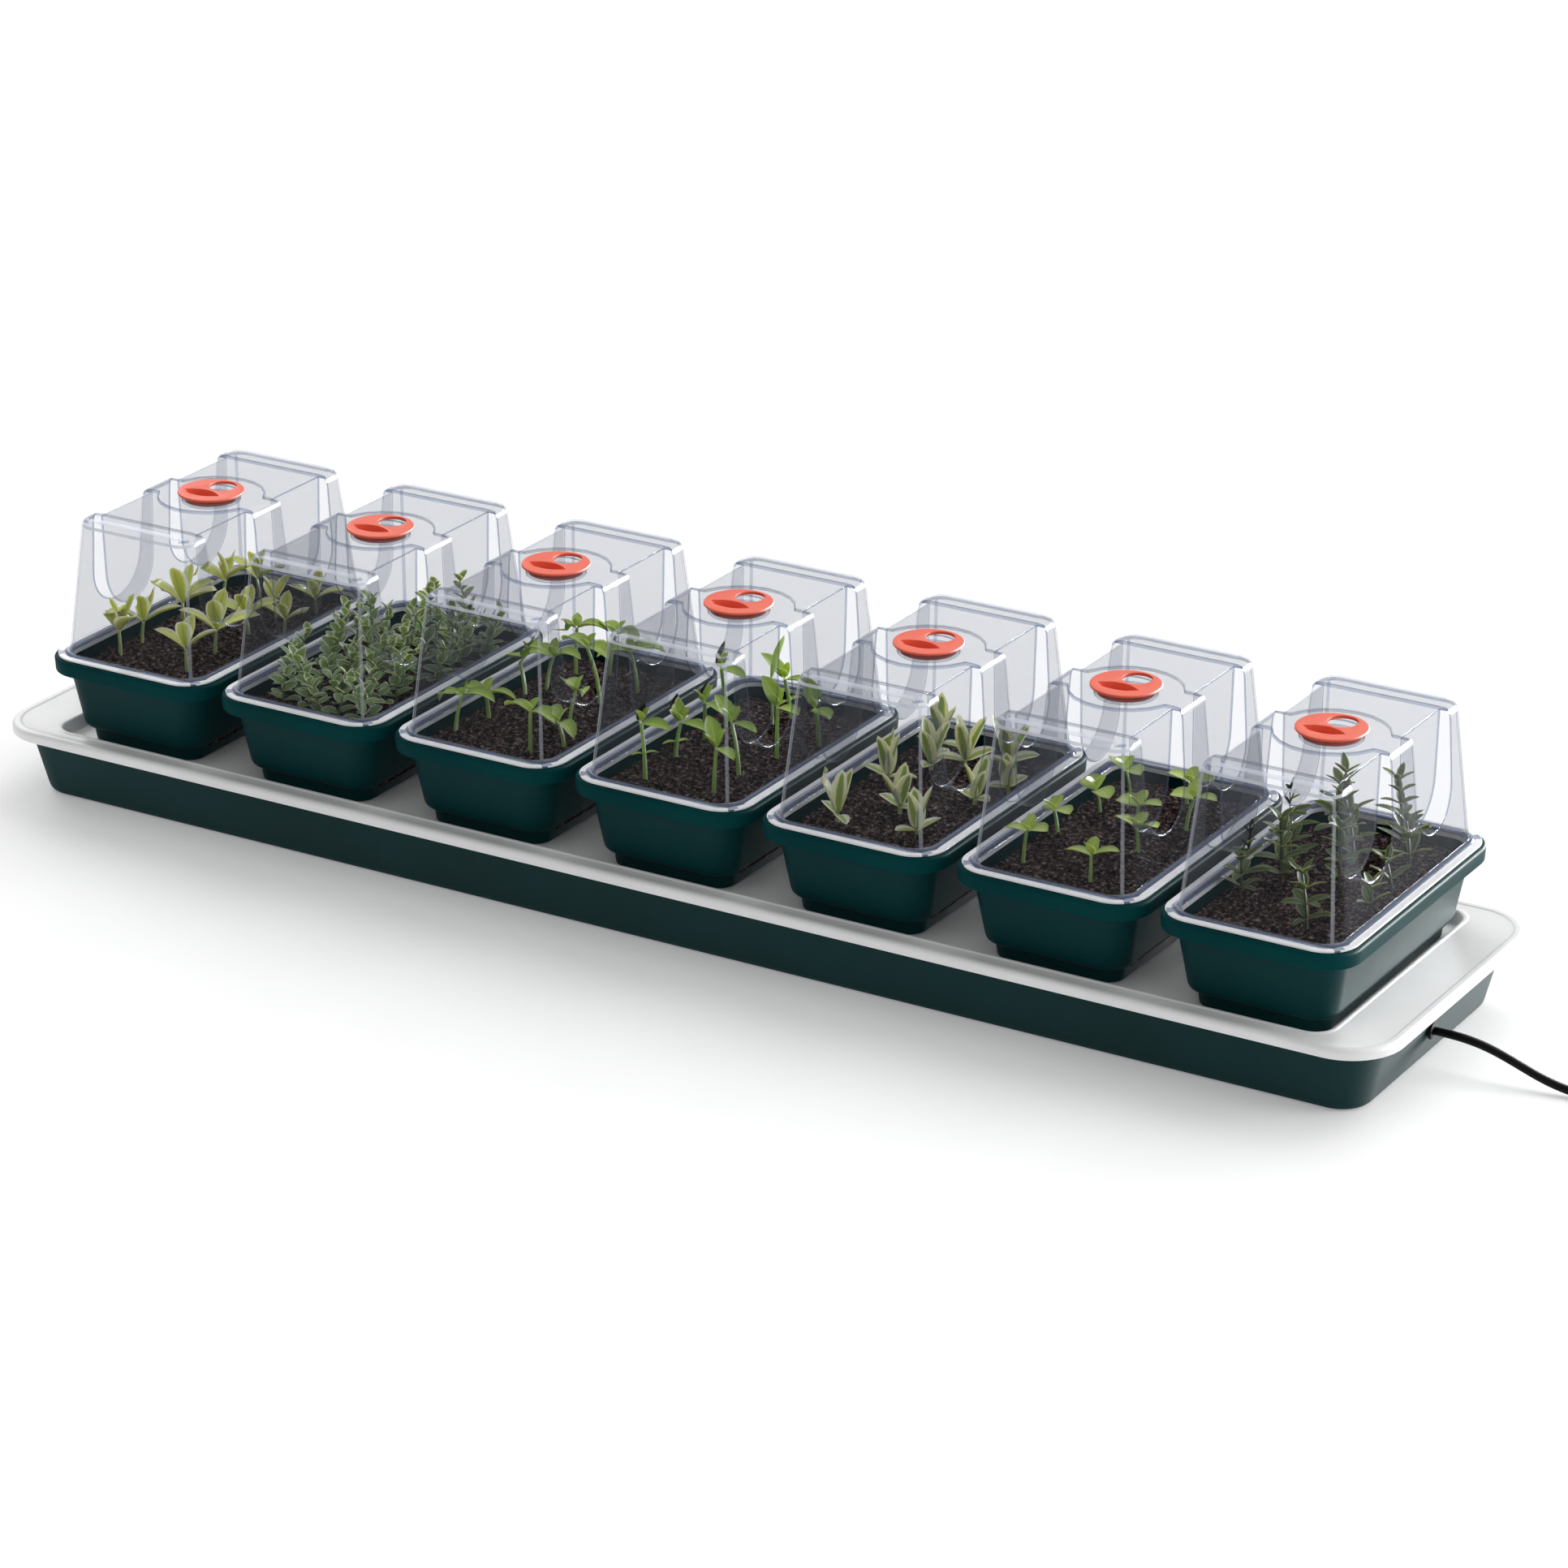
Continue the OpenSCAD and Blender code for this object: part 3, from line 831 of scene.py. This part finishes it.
def lid_block():
    """The lid's outside as one solid block, with the niches, roof panel and vent seat cut into it."""
    bm = bmesh.new()
    loft(bm, eased([
        # collar that drops inside the tray
        (79, 145.6, 10, RIM - 1.8, 0),
        (79, 145.6, 10, RIM + 0.2, 0),
        # flange that lies on the tray's band
        (82.5, 150, 12, RIM + 0.25, 0),
        (86, 153, 13, RIM + 0.25, 0),
        (LID_L, LID_W, 16, RIM + 0.3, 0),
        (LID_L, LID_W, 16, RIM + 1.1, 0.5),
        (86, 153, 13, RIM + 1.2, 0.3),
        (83.5, 150.6, 12, RIM + 2.4, 0.6),
        (81, 148.6, 11, RIM + 2.4, 0.8),
        # tapered sides, roof edge and roof
        (80, 147.6, 10.5, RIM + 4.5, 0),
        (68.6, 131.8, 9, ROOF_TOP - 0.4, 5.2),
        (56, 119, 5, ROOF_TOP, 0),
    ], 5), steps=9)
    body = cutter(bm, "lid_blank")
    tools = [niche_cutters(), roof_cutter(), disc(SEAT_R, SEAT_FLOOR, ABOVE)]
    for tool in tools:
        cut(body, tool)
    block = settled(body)
    discard(body, *tools)
    return block


def lid_wall(block):
    """Opens the block's underside and turns its skin into one thin wall with rounded creases."""
    bm = bmesh.new()
    bm.from_mesh(block)
    bmesh.ops.remove_doubles(bm, verts=bm.verts, dist=0.05 * mm)
    bmesh.ops.dissolve_limit(bm, angle_limit=math.radians(0.6), verts=bm.verts, edges=bm.edges)
    collar_foot = (RIM - 1.7) * mm
    bottom = [f for f in bm.faces if f.normal.z < -0.99 and f.calc_center_median().z < collar_foot]
    bmesh.ops.delete(bm, geom=bottom, context="FACES_ONLY")
    bm.to_mesh(block)
    bm.free()
    for material in (lid_clear, lid_crease_shade, lid_flange_highlight, lid_niche_lightened, lid_edge_highlight, lid_corner_shade_and_highlight):
        block.materials.append(material)
    made = linked("lid_open", block)
    # the rounded creases carry the painted dark crease line
    round_edges(made, 1.0, 3, 28).material = CREASE
    wall = made.modifiers.new("wall", "SOLIDIFY")
    wall.thickness = LID_WALL * mm
    wall.offset = -1
    wall.use_even_offset = False
    air_hole = disc(EYE_R - 0.8, SEAT_FLOOR - 10, ABOVE, EYE)
    cut(made, air_hole)
    skin = settled(made)
    discard(made, air_hole)
    return skin


def lid_finish(face):
    """Which lid material a face carries, told from its place and its slope: the clear wall and the painted
    shade and highlight lines.
    """
    x, y, z = abs(face.center.x) / mm, abs(face.center.y) / mm, face.center.z / mm
    across, along, up = (abs(n) for n in face.normal)
    # the flange's outer faces carry the painted highlight, its inner step the painted dark crease line
    if z < RIM + 2.2:
        outer = x > LID_L / 2 - 3.4 or y > LID_W / 2 - 3.4
        return FLANGE if outer or z < RIM else CREASE
    if face.material_index == CREASE:
        return CREASE
    # the roof edge gets a painted highlight on its steeper faces and a painted dark line on its flattest ones
    roof_edge = z > ROOF_TOP - 7 and 0.3 < up < 0.95 and face.area < 0.0004
    if roof_edge:
        return EDGE if up < 0.56 else CLEAR if up < 0.84 else CREASE
    # the vertical corners carry the painted shade and highlight lines
    if abs(across - along) < 0.12 and y > 60:
        return CORNER
    # niche side walls take the clearer, painted-light tint
    if x > NICHE_X and across < 0.5 and abs(y - NICHE_Y) < NICHE_HALF + 1.5:
        return NICHE
    return CLEAR


def lid_mesh():
    """Clear moulding in one thin wall: flange, tapered sides with four niches, stepped roof."""
    skin = lid_wall(lid_block())
    for face in skin.polygons:
        face.material_index = lid_finish(face)
    skin.shade_smooth()
    skin.set_sharp_from_angle(angle=math.radians(40))
    made = linked("lid_shaded", skin)
    # big walls shade flat, whatever the rounded creases beside them do
    even = made.modifiers.new("flat_walls", "WEIGHTED_NORMAL")
    even.keep_sharp = True
    result = settled(made)
    discard(made)
    result.name = "lid_shell"
    return result


lid_shape = lid_mesh()
for i in TRAYS:
    piece(f"lid_shell_{i}", lid_shape, f"lid_set_{i}", "clear_lid", f"lid_{i}", at=(row_x[i], 0, 0))


# ---------------------------------------------------------------- vents

def vent_mesh():
    """Orange disc on a turning skirt, with a round air hole, a finger recess and a slot in its floor."""
    bm = bmesh.new()
    plate = VENT_TOP - 1.4
    pocket = VENT_SEAT - 1.8
    profile = [
        # skirt, underside of the plate, then round the plate's edge to its top
        (12.2, pocket - 0.5), (13.3, pocket - 0.5), (13.3, plate),
        (VENT_R - 0.3, plate), (VENT_R, plate + 0.3), (VENT_R, plate + 0.8),
        (VENT_R - 0.3, plate + 1.2), (VENT_R - 1.0, VENT_TOP - 0.05), (VENT_R - 1.8, VENT_TOP),
    ]
    stack(bm, [
        [bm.verts.new(Vector((x, y, z)) * mm) for x, y in circle(r, 72)] for r, z in profile
    ])
    body = cutter(bm, "vent_blank")
    tools = [
        disc(EYE_R, plate - 9, plate + 9, EYE),
        disc(EYE_R + 5, plate - 9, plate, EYE, front=-0.7),
        lens((-1.2, -5.8), 10.6, 4.4, pocket, plate + 9),
        lens((-2.2, -9.0), 7.0, 1.1, plate - 9, plate + 9),
    ]
    for tool in tools:
        cut(body, tool)
    round_edges(body, 0.28, 2, 50)
    result = settled(body)
    discard(body, *tools)
    result.name = "vent_disc"
    result.materials.clear()
    result.materials.append(vent_paint)
    result.shade_smooth()
    result.set_sharp_from_angle(angle=math.radians(35))
    return result


vent_shape = vent_mesh()
for i in TRAYS:
    piece(f"vent_cap_{i}", vent_shape, f"vent_disc_{i}", "orange_vent", f"vent_{i}", at=(row_x[i], 0, 0))


# ---------------------------------------------------------------- seedlings

SOIL = compost_top / mm - 0.5
UP = Vector((0, 0, 1))
STEM = 1
# Room for leaves, in millimetres from the lid's middle: at the tray's rim, and lost on the way up
ROOM_X, ROOM_Y, LOST_X, LOST_Y = 38.0, 71.5, 5.6, 7.6
ROOM_FROM, ROOM_RISE, ROOM_TOP = 78, 62, 141.0
# The niches leave less room across, above this height and between these distances along the lid
NICHE_ROOM_X, NICHE_ABOVE, NICHE_FROM, NICHE_TO = 27.2, 91, 7, 54


def under_lid(place):
    """Keeps a leaf off the clear walls, which lean in as they rise, and out of the niches."""
    rise = min(max((place.z - ROOM_FROM) / ROOM_RISE, 0), 1)
    half_x = ROOM_X - LOST_X * rise
    if place.z > NICHE_ABOVE and NICHE_FROM < abs(place.y) < NICHE_TO:
        half_x = NICHE_ROOM_X
    half_y = ROOM_Y - LOST_Y * rise
    return Vector((
        min(max(place.x, -half_x), half_x), min(max(place.y, -half_y), half_y),
        min(place.z, ROOM_TOP),
    ))


class Greenery:
    """The leaves and stems of one tray, gathered into one mesh."""

    def __init__(self, seed):
        self.bm = bmesh.new()
        self.across = self.bm.verts.layers.float.new("across")
        self.draw = random.Random(seed)

    def vert(self, place, across):
        """Vertex that knows how far it lies from the leaf's midrib, 0 to 1."""
        made = self.bm.verts.new(under_lid(place) * mm)
        made[self.across] = across
        return made

    def stem(self, path, start, end, sides=6):
        """Six-sided stem along the path, from radius start to radius end."""
        rings = []
        for k, place in enumerate(path):
            r = start + (end - start) * k / (len(path) - 1)
            rings.append([self.vert(place + Vector((a, b, 0)), 0.0) for a, b in circle(r, sides)])
        made = [self.bm.faces.new(list(reversed(rings[0]))), self.bm.faces.new(rings[-1])]
        for low, high in zip(rings, rings[1:]):
            made += band(self.bm, low, high)
        for face in made:
            face.material_index = STEM

    def leaf(
        self, root, turn, rise, length, width,
        droop=0.8, fold=0.3, swell=0.85, rows=7, thick=0.3, blunt=0.75,
    ):
        """Closed blade that leaves root along turn at slope rise and bends over by droop.

        fold lifts its sides, swell moves its widest place, blunt rounds its ends.
        """
        out = Vector((math.cos(turn), math.sin(turn), 0))
        side = Vector((-math.sin(turn), math.cos(turn), 0))
        twist = self.draw.uniform(-0.25, 0.25)
        place = Vector(root)
        columns = (-1, -0.55, 0, 0.55, 1)
        tops, bottoms = [], []
        for k in range(rows + 1):
            t = k / rows
            slope = rise - droop * t
            heading = out * math.cos(slope) + UP * math.sin(slope)
            normal = UP * math.cos(slope) - out * math.sin(slope)
            if k:
                place = place + heading * (length / rows)
            if k in (0, rows):
                tip = self.vert(place, 0.0 if k == 0 else 0.9)
                tops.append([tip] * len(columns))
                bottoms.append([tip] * len(columns))
                continue
            half = width / 2 * math.sin(math.pi * t ** swell) ** blunt
            across = side * math.cos(twist) + normal * math.sin(twist)
            spots = [(c, half * fold * abs(c) ** 1.5) for c in columns]
            top = [self.vert(place + across * (half * c) + normal * lift, abs(c)) for c, lift in spots]
            low = [
                self.vert(place + across * (half * c) + normal * (lift - thick), abs(c))
                for c, lift in spots[1:-1]
            ]
            tops.append(top)
            bottoms.append([top[0], *low, top[-1]])
        for grid, order in ((tops, 1), (bottoms, -1)):
            for first, second in zip(grid, grid[1:]):
                for c in range(len(columns) - 1):
                    corners = [first[c], first[c + 1], second[c + 1], second[c]][::order]
                    distinct = list(dict.fromkeys(corners))
                    if len(distinct) > 2:
                        self.bm.faces.new(distinct)

    def pair(self, root, turn, rise, length, width, count=2, **shape):
        """Two leaves, or more, set evenly round one point of a stem."""
        for k in range(count):
            self.leaf(
                root, turn + 2 * math.pi * k / count + self.draw.uniform(-0.2, 0.2),
                rise + self.draw.uniform(-0.15, 0.15), length * self.draw.uniform(0.88, 1.1),
                width * self.draw.uniform(0.9, 1.1), **shape,
            )

    def stalk(self, x, y, height, radius, lean=0.12):
        """Curved stem from the soil; returns the points along it."""
        turn = self.draw.uniform(0, 6.28)
        path = []
        for k in range(5):
            t = k / 4
            bend = lean * height * t * t
            path.append(Vector((
                x + bend * math.cos(turn), y + bend * math.sin(turn), SOIL - 1.5 + (height + 1.5) * t,
            )))
        self.stem(path, radius, radius * 0.75)
        return path

    def mesh(self, name, materials):
        return finish_mesh(name, self.bm, materials, 60)


def broad_leaved(green, x, y, height):
    """Thick pale leaves in two crossed pairs."""
    top = green.stalk(x, y, height * 0.4, 1.1)[-1]
    turn = green.draw.uniform(-0.6, 0.6)
    thick = {"fold": 0.4, "thick": 0.5, "blunt": 0.6}
    green.pair(top, turn, 0.8, height * 0.74, height * 0.34, droop=0.55, swell=1.15, **thick)
    green.pair(top + UP, turn + 1.4, 1.2, height * 0.66, height * 0.3, droop=0.25, swell=1.1, **thick)


def bushy(green, x, y, height):
    """Wiry stem with many small opposite leaves."""
    path = green.stalk(x, y, height, 0.6, 0.3)
    turn = green.draw.uniform(0, 3)
    count = int(height / 3.8)
    for k in range(1, count + 1):
        t = k / count * (len(path) - 1)
        n = min(int(t), len(path) - 2)
        root = path[n].lerp(path[n + 1], t - n)
        long = green.draw.uniform(9.6, 11.8) - 3.8 * k / count
        green.pair(
            root, turn + 1.57 * k, 0.35 + 0.8 * k / count, long, long * 0.66,
            rows=5, droop=0.5, thick=0.25, blunt=0.6,
        )


def two_leaved(green, x, y, height):
    """Bare stem with a drooping pair of seed leaves and a small pair between them."""
    top = green.stalk(x, y, height * 0.8, 1.2, 0.2)[-1]
    turn = green.draw.uniform(-0.8, 0.8)
    green.pair(top, turn, 0.7, 18.0, 9.6, droop=1.3, fold=0.45, swell=0.85, thick=0.4)
    green.pair(top + UP, turn + 1.5, 1.1, 8.5, 4.8, droop=0.5)


def tall_green(green, x, y, height):
    """Longer stem with a spread pair near the top and a pair of hoods lower down."""
    path = green.stalk(x, y, height * 0.72, 1.25, 0.15)
    turn = green.draw.uniform(-0.5, 0.5)
    green.leaf(path[-1], turn, 0.25, 16.5, 8.4, droop=0.5, fold=0.35, thick=0.4)
    other = green.draw.uniform(0.7, 1.1)
    green.leaf(path[-1], turn + 2.9, other, 18.0, 8.6, droop=0.5, fold=0.35, thick=0.4)
    green.pair(path[-1] + UP, turn + 1.4, 1.2, 9.0, 5.0, droop=0.4)
    if green.draw.random() < 0.4:
        green.pair(path[2], turn + 1.0, 0.4, 7.5, 4.0, droop=0.9)


def rosette(green, x, y, height):
    """Cream-edged leaves rising from the soil, with one or two lying flat."""
    top = green.stalk(x, y, height * 0.14, 1.4)[-1]
    turn = green.draw.uniform(0, 3)
    thick = {"thick": 0.6, "blunt": 0.58}
    green.pair(top, turn, 1.25, height * 0.95, 8.8, count=3, droop=0.1, swell=0.95, fold=0.4, **thick)
    green.pair(top, turn + 1.0, 0.4, height * 0.62, 6.8, droop=0.35, fold=0.35, **thick)


def round_leaved(green, x, y, height):
    """Short stem with broad round leaves."""
    path = green.stalk(x, y, height * 0.66, 1.05, 0.2)
    turn = green.draw.uniform(-0.6, 0.6)
    green.pair(path[-1], turn, 0.6, 13.0, 11.0, droop=0.8, swell=1.0, fold=0.25, thick=0.4, blunt=0.55)
    green.pair(path[-1] + UP, turn + 1.5, 1.0, 8.0, 6.5, droop=0.3, blunt=0.55)


def whorled(green, x, y, height):
    """Dark narrow leaves in loose whorls up a woody stem."""
    path = green.stalk(x, y, height * 0.86, 0.8, 0.16)
    count = max(2, round(height / 7.5))
    for k in range(1, count + 1):
        t = min(k / count, 0.999) * (len(path) - 1)
        root = path[int(t)].lerp(path[int(t) + 1], t - int(t))
        long = green.draw.uniform(12.5, 16.5) - 4.0 * k / count
        turn, rise = green.draw.uniform(0, 3), green.draw.uniform(0.2, 0.5) + 0.55 * k / count
        green.pair(
            root, turn, rise, long, long * 0.38,
            count=3 if k % 2 else 4, droop=green.draw.uniform(0.1, 0.6), thick=0.35,
        )


def tall_blade(green, x, y, height):
    """One broad upright leaf on its own stalk."""
    top = green.stalk(x, y, height * 0.5, 0.9, 0.05)[-1]
    green.leaf(
        top, 0.3, 1.35, height * 0.55, 11.0,
        droop=0.1, swell=1.5, fold=0.15, rows=8, thick=0.5, blunt=0.6,
    )


def stem_material(name, colour):
    """Matt stem, a little darker in places."""
    return moulded(name, tuple(0.8 * c for c in colour[:3]) + (1,), colour, (0.4, 0.6), 400, 0.0002)


# Where the plants stand in each tray: (across, along, height) in millimetres from the tray's middle
PLANTS = {
    1: (broad_leaved, [
        (-27, -44, 32), (-29, -24, 28), (-22, 2, 34), (-32, 13, 26), (14, -44, 28), (12, -18, 32),
        (10, 13, 26), (-30, 46, 28), (-16, 58, 26), (8, 39, 22), (22, 54, 22), (27, 20, 22),
    ]),
    2: (bushy, []),
    3: (two_leaved, [
        (-31, -43, 24), (-28, -19, 16), (-30, 16, 28), (-24, 26, 22), (14, -46, 28), (17, -17, 26),
        (24, -32, 16), (9, 23, 38), (16, 46, 28), (-24, 52, 28), (-8, 58, 26),
    ]),
    4: (tall_green, [
        (-23, -47, 38), (-25, -17, 26), (-26, 11, 28), (13, -44, 30), (12, -20, 36), (-26, 30, 44),
        (16, 8, 34), (25, 32, 28), (-4, 54, 30),
    ]),
    5: (rosette, [
        (-22, -45, 27), (-26, 8, 24), (-3, -20, 22), (18, -41, 24), (-16, 32, 25), (-4, 44, 26),
        (14, 54, 24), (22, 6, 21), (28, 28, 18), (-26, 58, 24),
    ]),
    6: (round_leaved, [
        (-28, -43, 26), (-30, -6, 18), (-26, 28, 18), (-24, 54, 20), (8, -46, 18), (12, -7, 22),
        (18, 29, 25), (4, 57, 18), (-4, 22, 14),
    ]),
    7: (whorled, [
        (-29, -26, 34), (-20, -4, 38), (-26, 18, 42), (12, -44, 30), (4, 6, 30), (28, -14, 13),
        (-2, 34, 36), (22, 42, 26), (10, 60, 42), (-24, 58, 38), (26, 14, 16),
    ]),
}
LEAF_COLOURS = {
    1: (srgb(186, 196, 96), srgb(216, 224, 130), srgb(252, 252, 214)),
    2: (srgb(104, 132, 80), srgb(120, 146, 90), srgb(212, 224, 180)),
    3: (srgb(196, 216, 122), srgb(160, 188, 92), srgb(146, 176, 84)),
    4: (srgb(196, 220, 108), srgb(158, 190, 78), srgb(142, 176, 70)),
    5: (srgb(150, 170, 92), srgb(162, 182, 104), srgb(252, 250, 208)),
    6: (srgb(216, 232, 138), srgb(184, 208, 110), srgb(162, 190, 92)),
    7: (srgb(100, 118, 68), srgb(66, 84, 44), srgb(98, 114, 70)),
}
STEM_COLOURS = {
    1: srgb(199, 216, 130), 2: srgb(125, 143, 91), 3: srgb(186, 225, 117), 4: srgb(173, 218, 102),
    5: srgb(212, 229, 151), 6: srgb(179, 225, 117), 7: srgb(78, 84, 54),
}

# Tray 2 is full of small plants, scattered no closer than this in millimetres
BUSHES = 42
BUSH_SPACING = 8.5
# Share of the leaf's half width at which the edge colour begins
EDGE_FROM = {1: 0.8, 2: 0.8, 3: 0.72, 4: 0.72, 5: 0.5, 6: 0.72, 7: 0.72}

scatter = random.Random(5)
bushes = PLANTS[2][1]
while len(bushes) < BUSHES:
    spot = (scatter.uniform(-31, 31), scatter.uniform(-62, 60))
    if all(math.hypot(spot[0] - a, spot[1] - b) > BUSH_SPACING for a, b, _ in bushes):
        bushes.append((*spot, scatter.uniform(16, 32)))

for i, (grow, places) in PLANTS.items():
    green = Greenery(40 + i)
    for x, y, height in places:
        grow(green, x, y, height)
    if i == 4:
        tall_blade(green, -8, 44, 46)
    blades = leaf_material(f"leaf_{i}", *LEAF_COLOURS[i], EDGE_FROM[i])
    shape = green.mesh(f"seedlings_{i}", [blades, stem_material(f"stem_{i}", STEM_COLOURS[i])])
    piece(f"seedlings_{i}", shape, f"tray_set_{i}", "compost", at=(row_x[i], 0, 0))


# ---------------------------------------------------------------- floor and light

WHITE = (1, 1, 1, 1)
FLOOR_HALF = 6.0
FLOOR_GLOW = 0.2
SKY = 0.52


def floor():
    """Matt white floor with a faint glow of its own, so that it merges into the white beyond."""
    mesh = bpy.data.meshes.new("floor")
    corners = [(FLOOR_HALF * a, FLOOR_HALF * b, 0) for a, b in ((-1, -1), (1, -1), (1, 1), (-1, 1))]
    mesh.from_pydata(corners, [], [(0, 1, 2, 3)])
    made = linked("floor", mesh)
    paint = moulded(
        "floor_paint", srgb(238, 238, 238), srgb(241, 241, 241), (0.8, 0.9), relief=0.0,
        Specular_IOR_Level=0.1,
    )
    glow = paint.node_tree.nodes["Principled BSDF"].inputs
    glow["Emission Color"].default_value = WHITE
    glow["Emission Strength"].default_value = FLOOR_GLOW
    mesh.materials.append(paint)


def soft_box(name, place, aim, width, height, power):
    """Rectangular studio light that looks at aim; sizes in metres, power in watts."""
    light = bpy.data.lights.new(name, "AREA")
    light.shape = "RECTANGLE"
    light.size, light.size_y = width, height
    light.energy = power
    made = linked(name, light)
    made.location = place
    made.rotation_euler = (Vector(aim) - Vector(place)).to_track_quat("-Z", "Y").to_euler()
    return made


floor()
world = bpy.data.worlds.new("studio")
bpy.context.scene.world = world
world.use_nodes = True
background = world.node_tree.nodes["Background"].inputs
background["Color"].default_value = WHITE
background["Strength"].default_value = SKY
soft_box("overhead_back", (0.2, 1.5, 2.2), (0, 0, 0), 3.4, 1.8, 38)
soft_box("right_window", (2.6, 1.0, 1.0), (0.2, 0, 0.05), 1.6, 1.4, 30)
soft_box("left_window", (-2.2, 1.3, 1.4), (-0.2, 0, 0.05), 1.6, 1.4, 22)
# Seen by reflections only: it greys the right-hand faces without lighting them
sheen = soft_box("right_sheen", (1.7, 2.1, 0.55), (0.36, 0, 0.05), 3.0, 0.9, 1100)
sheen.visible_diffuse = False
bpy.context.scene.view_settings.view_transform = "Standard"
# enough for a ray that passes through every lid in the row
bpy.context.scene.cycles.transparent_max_bounces = 64
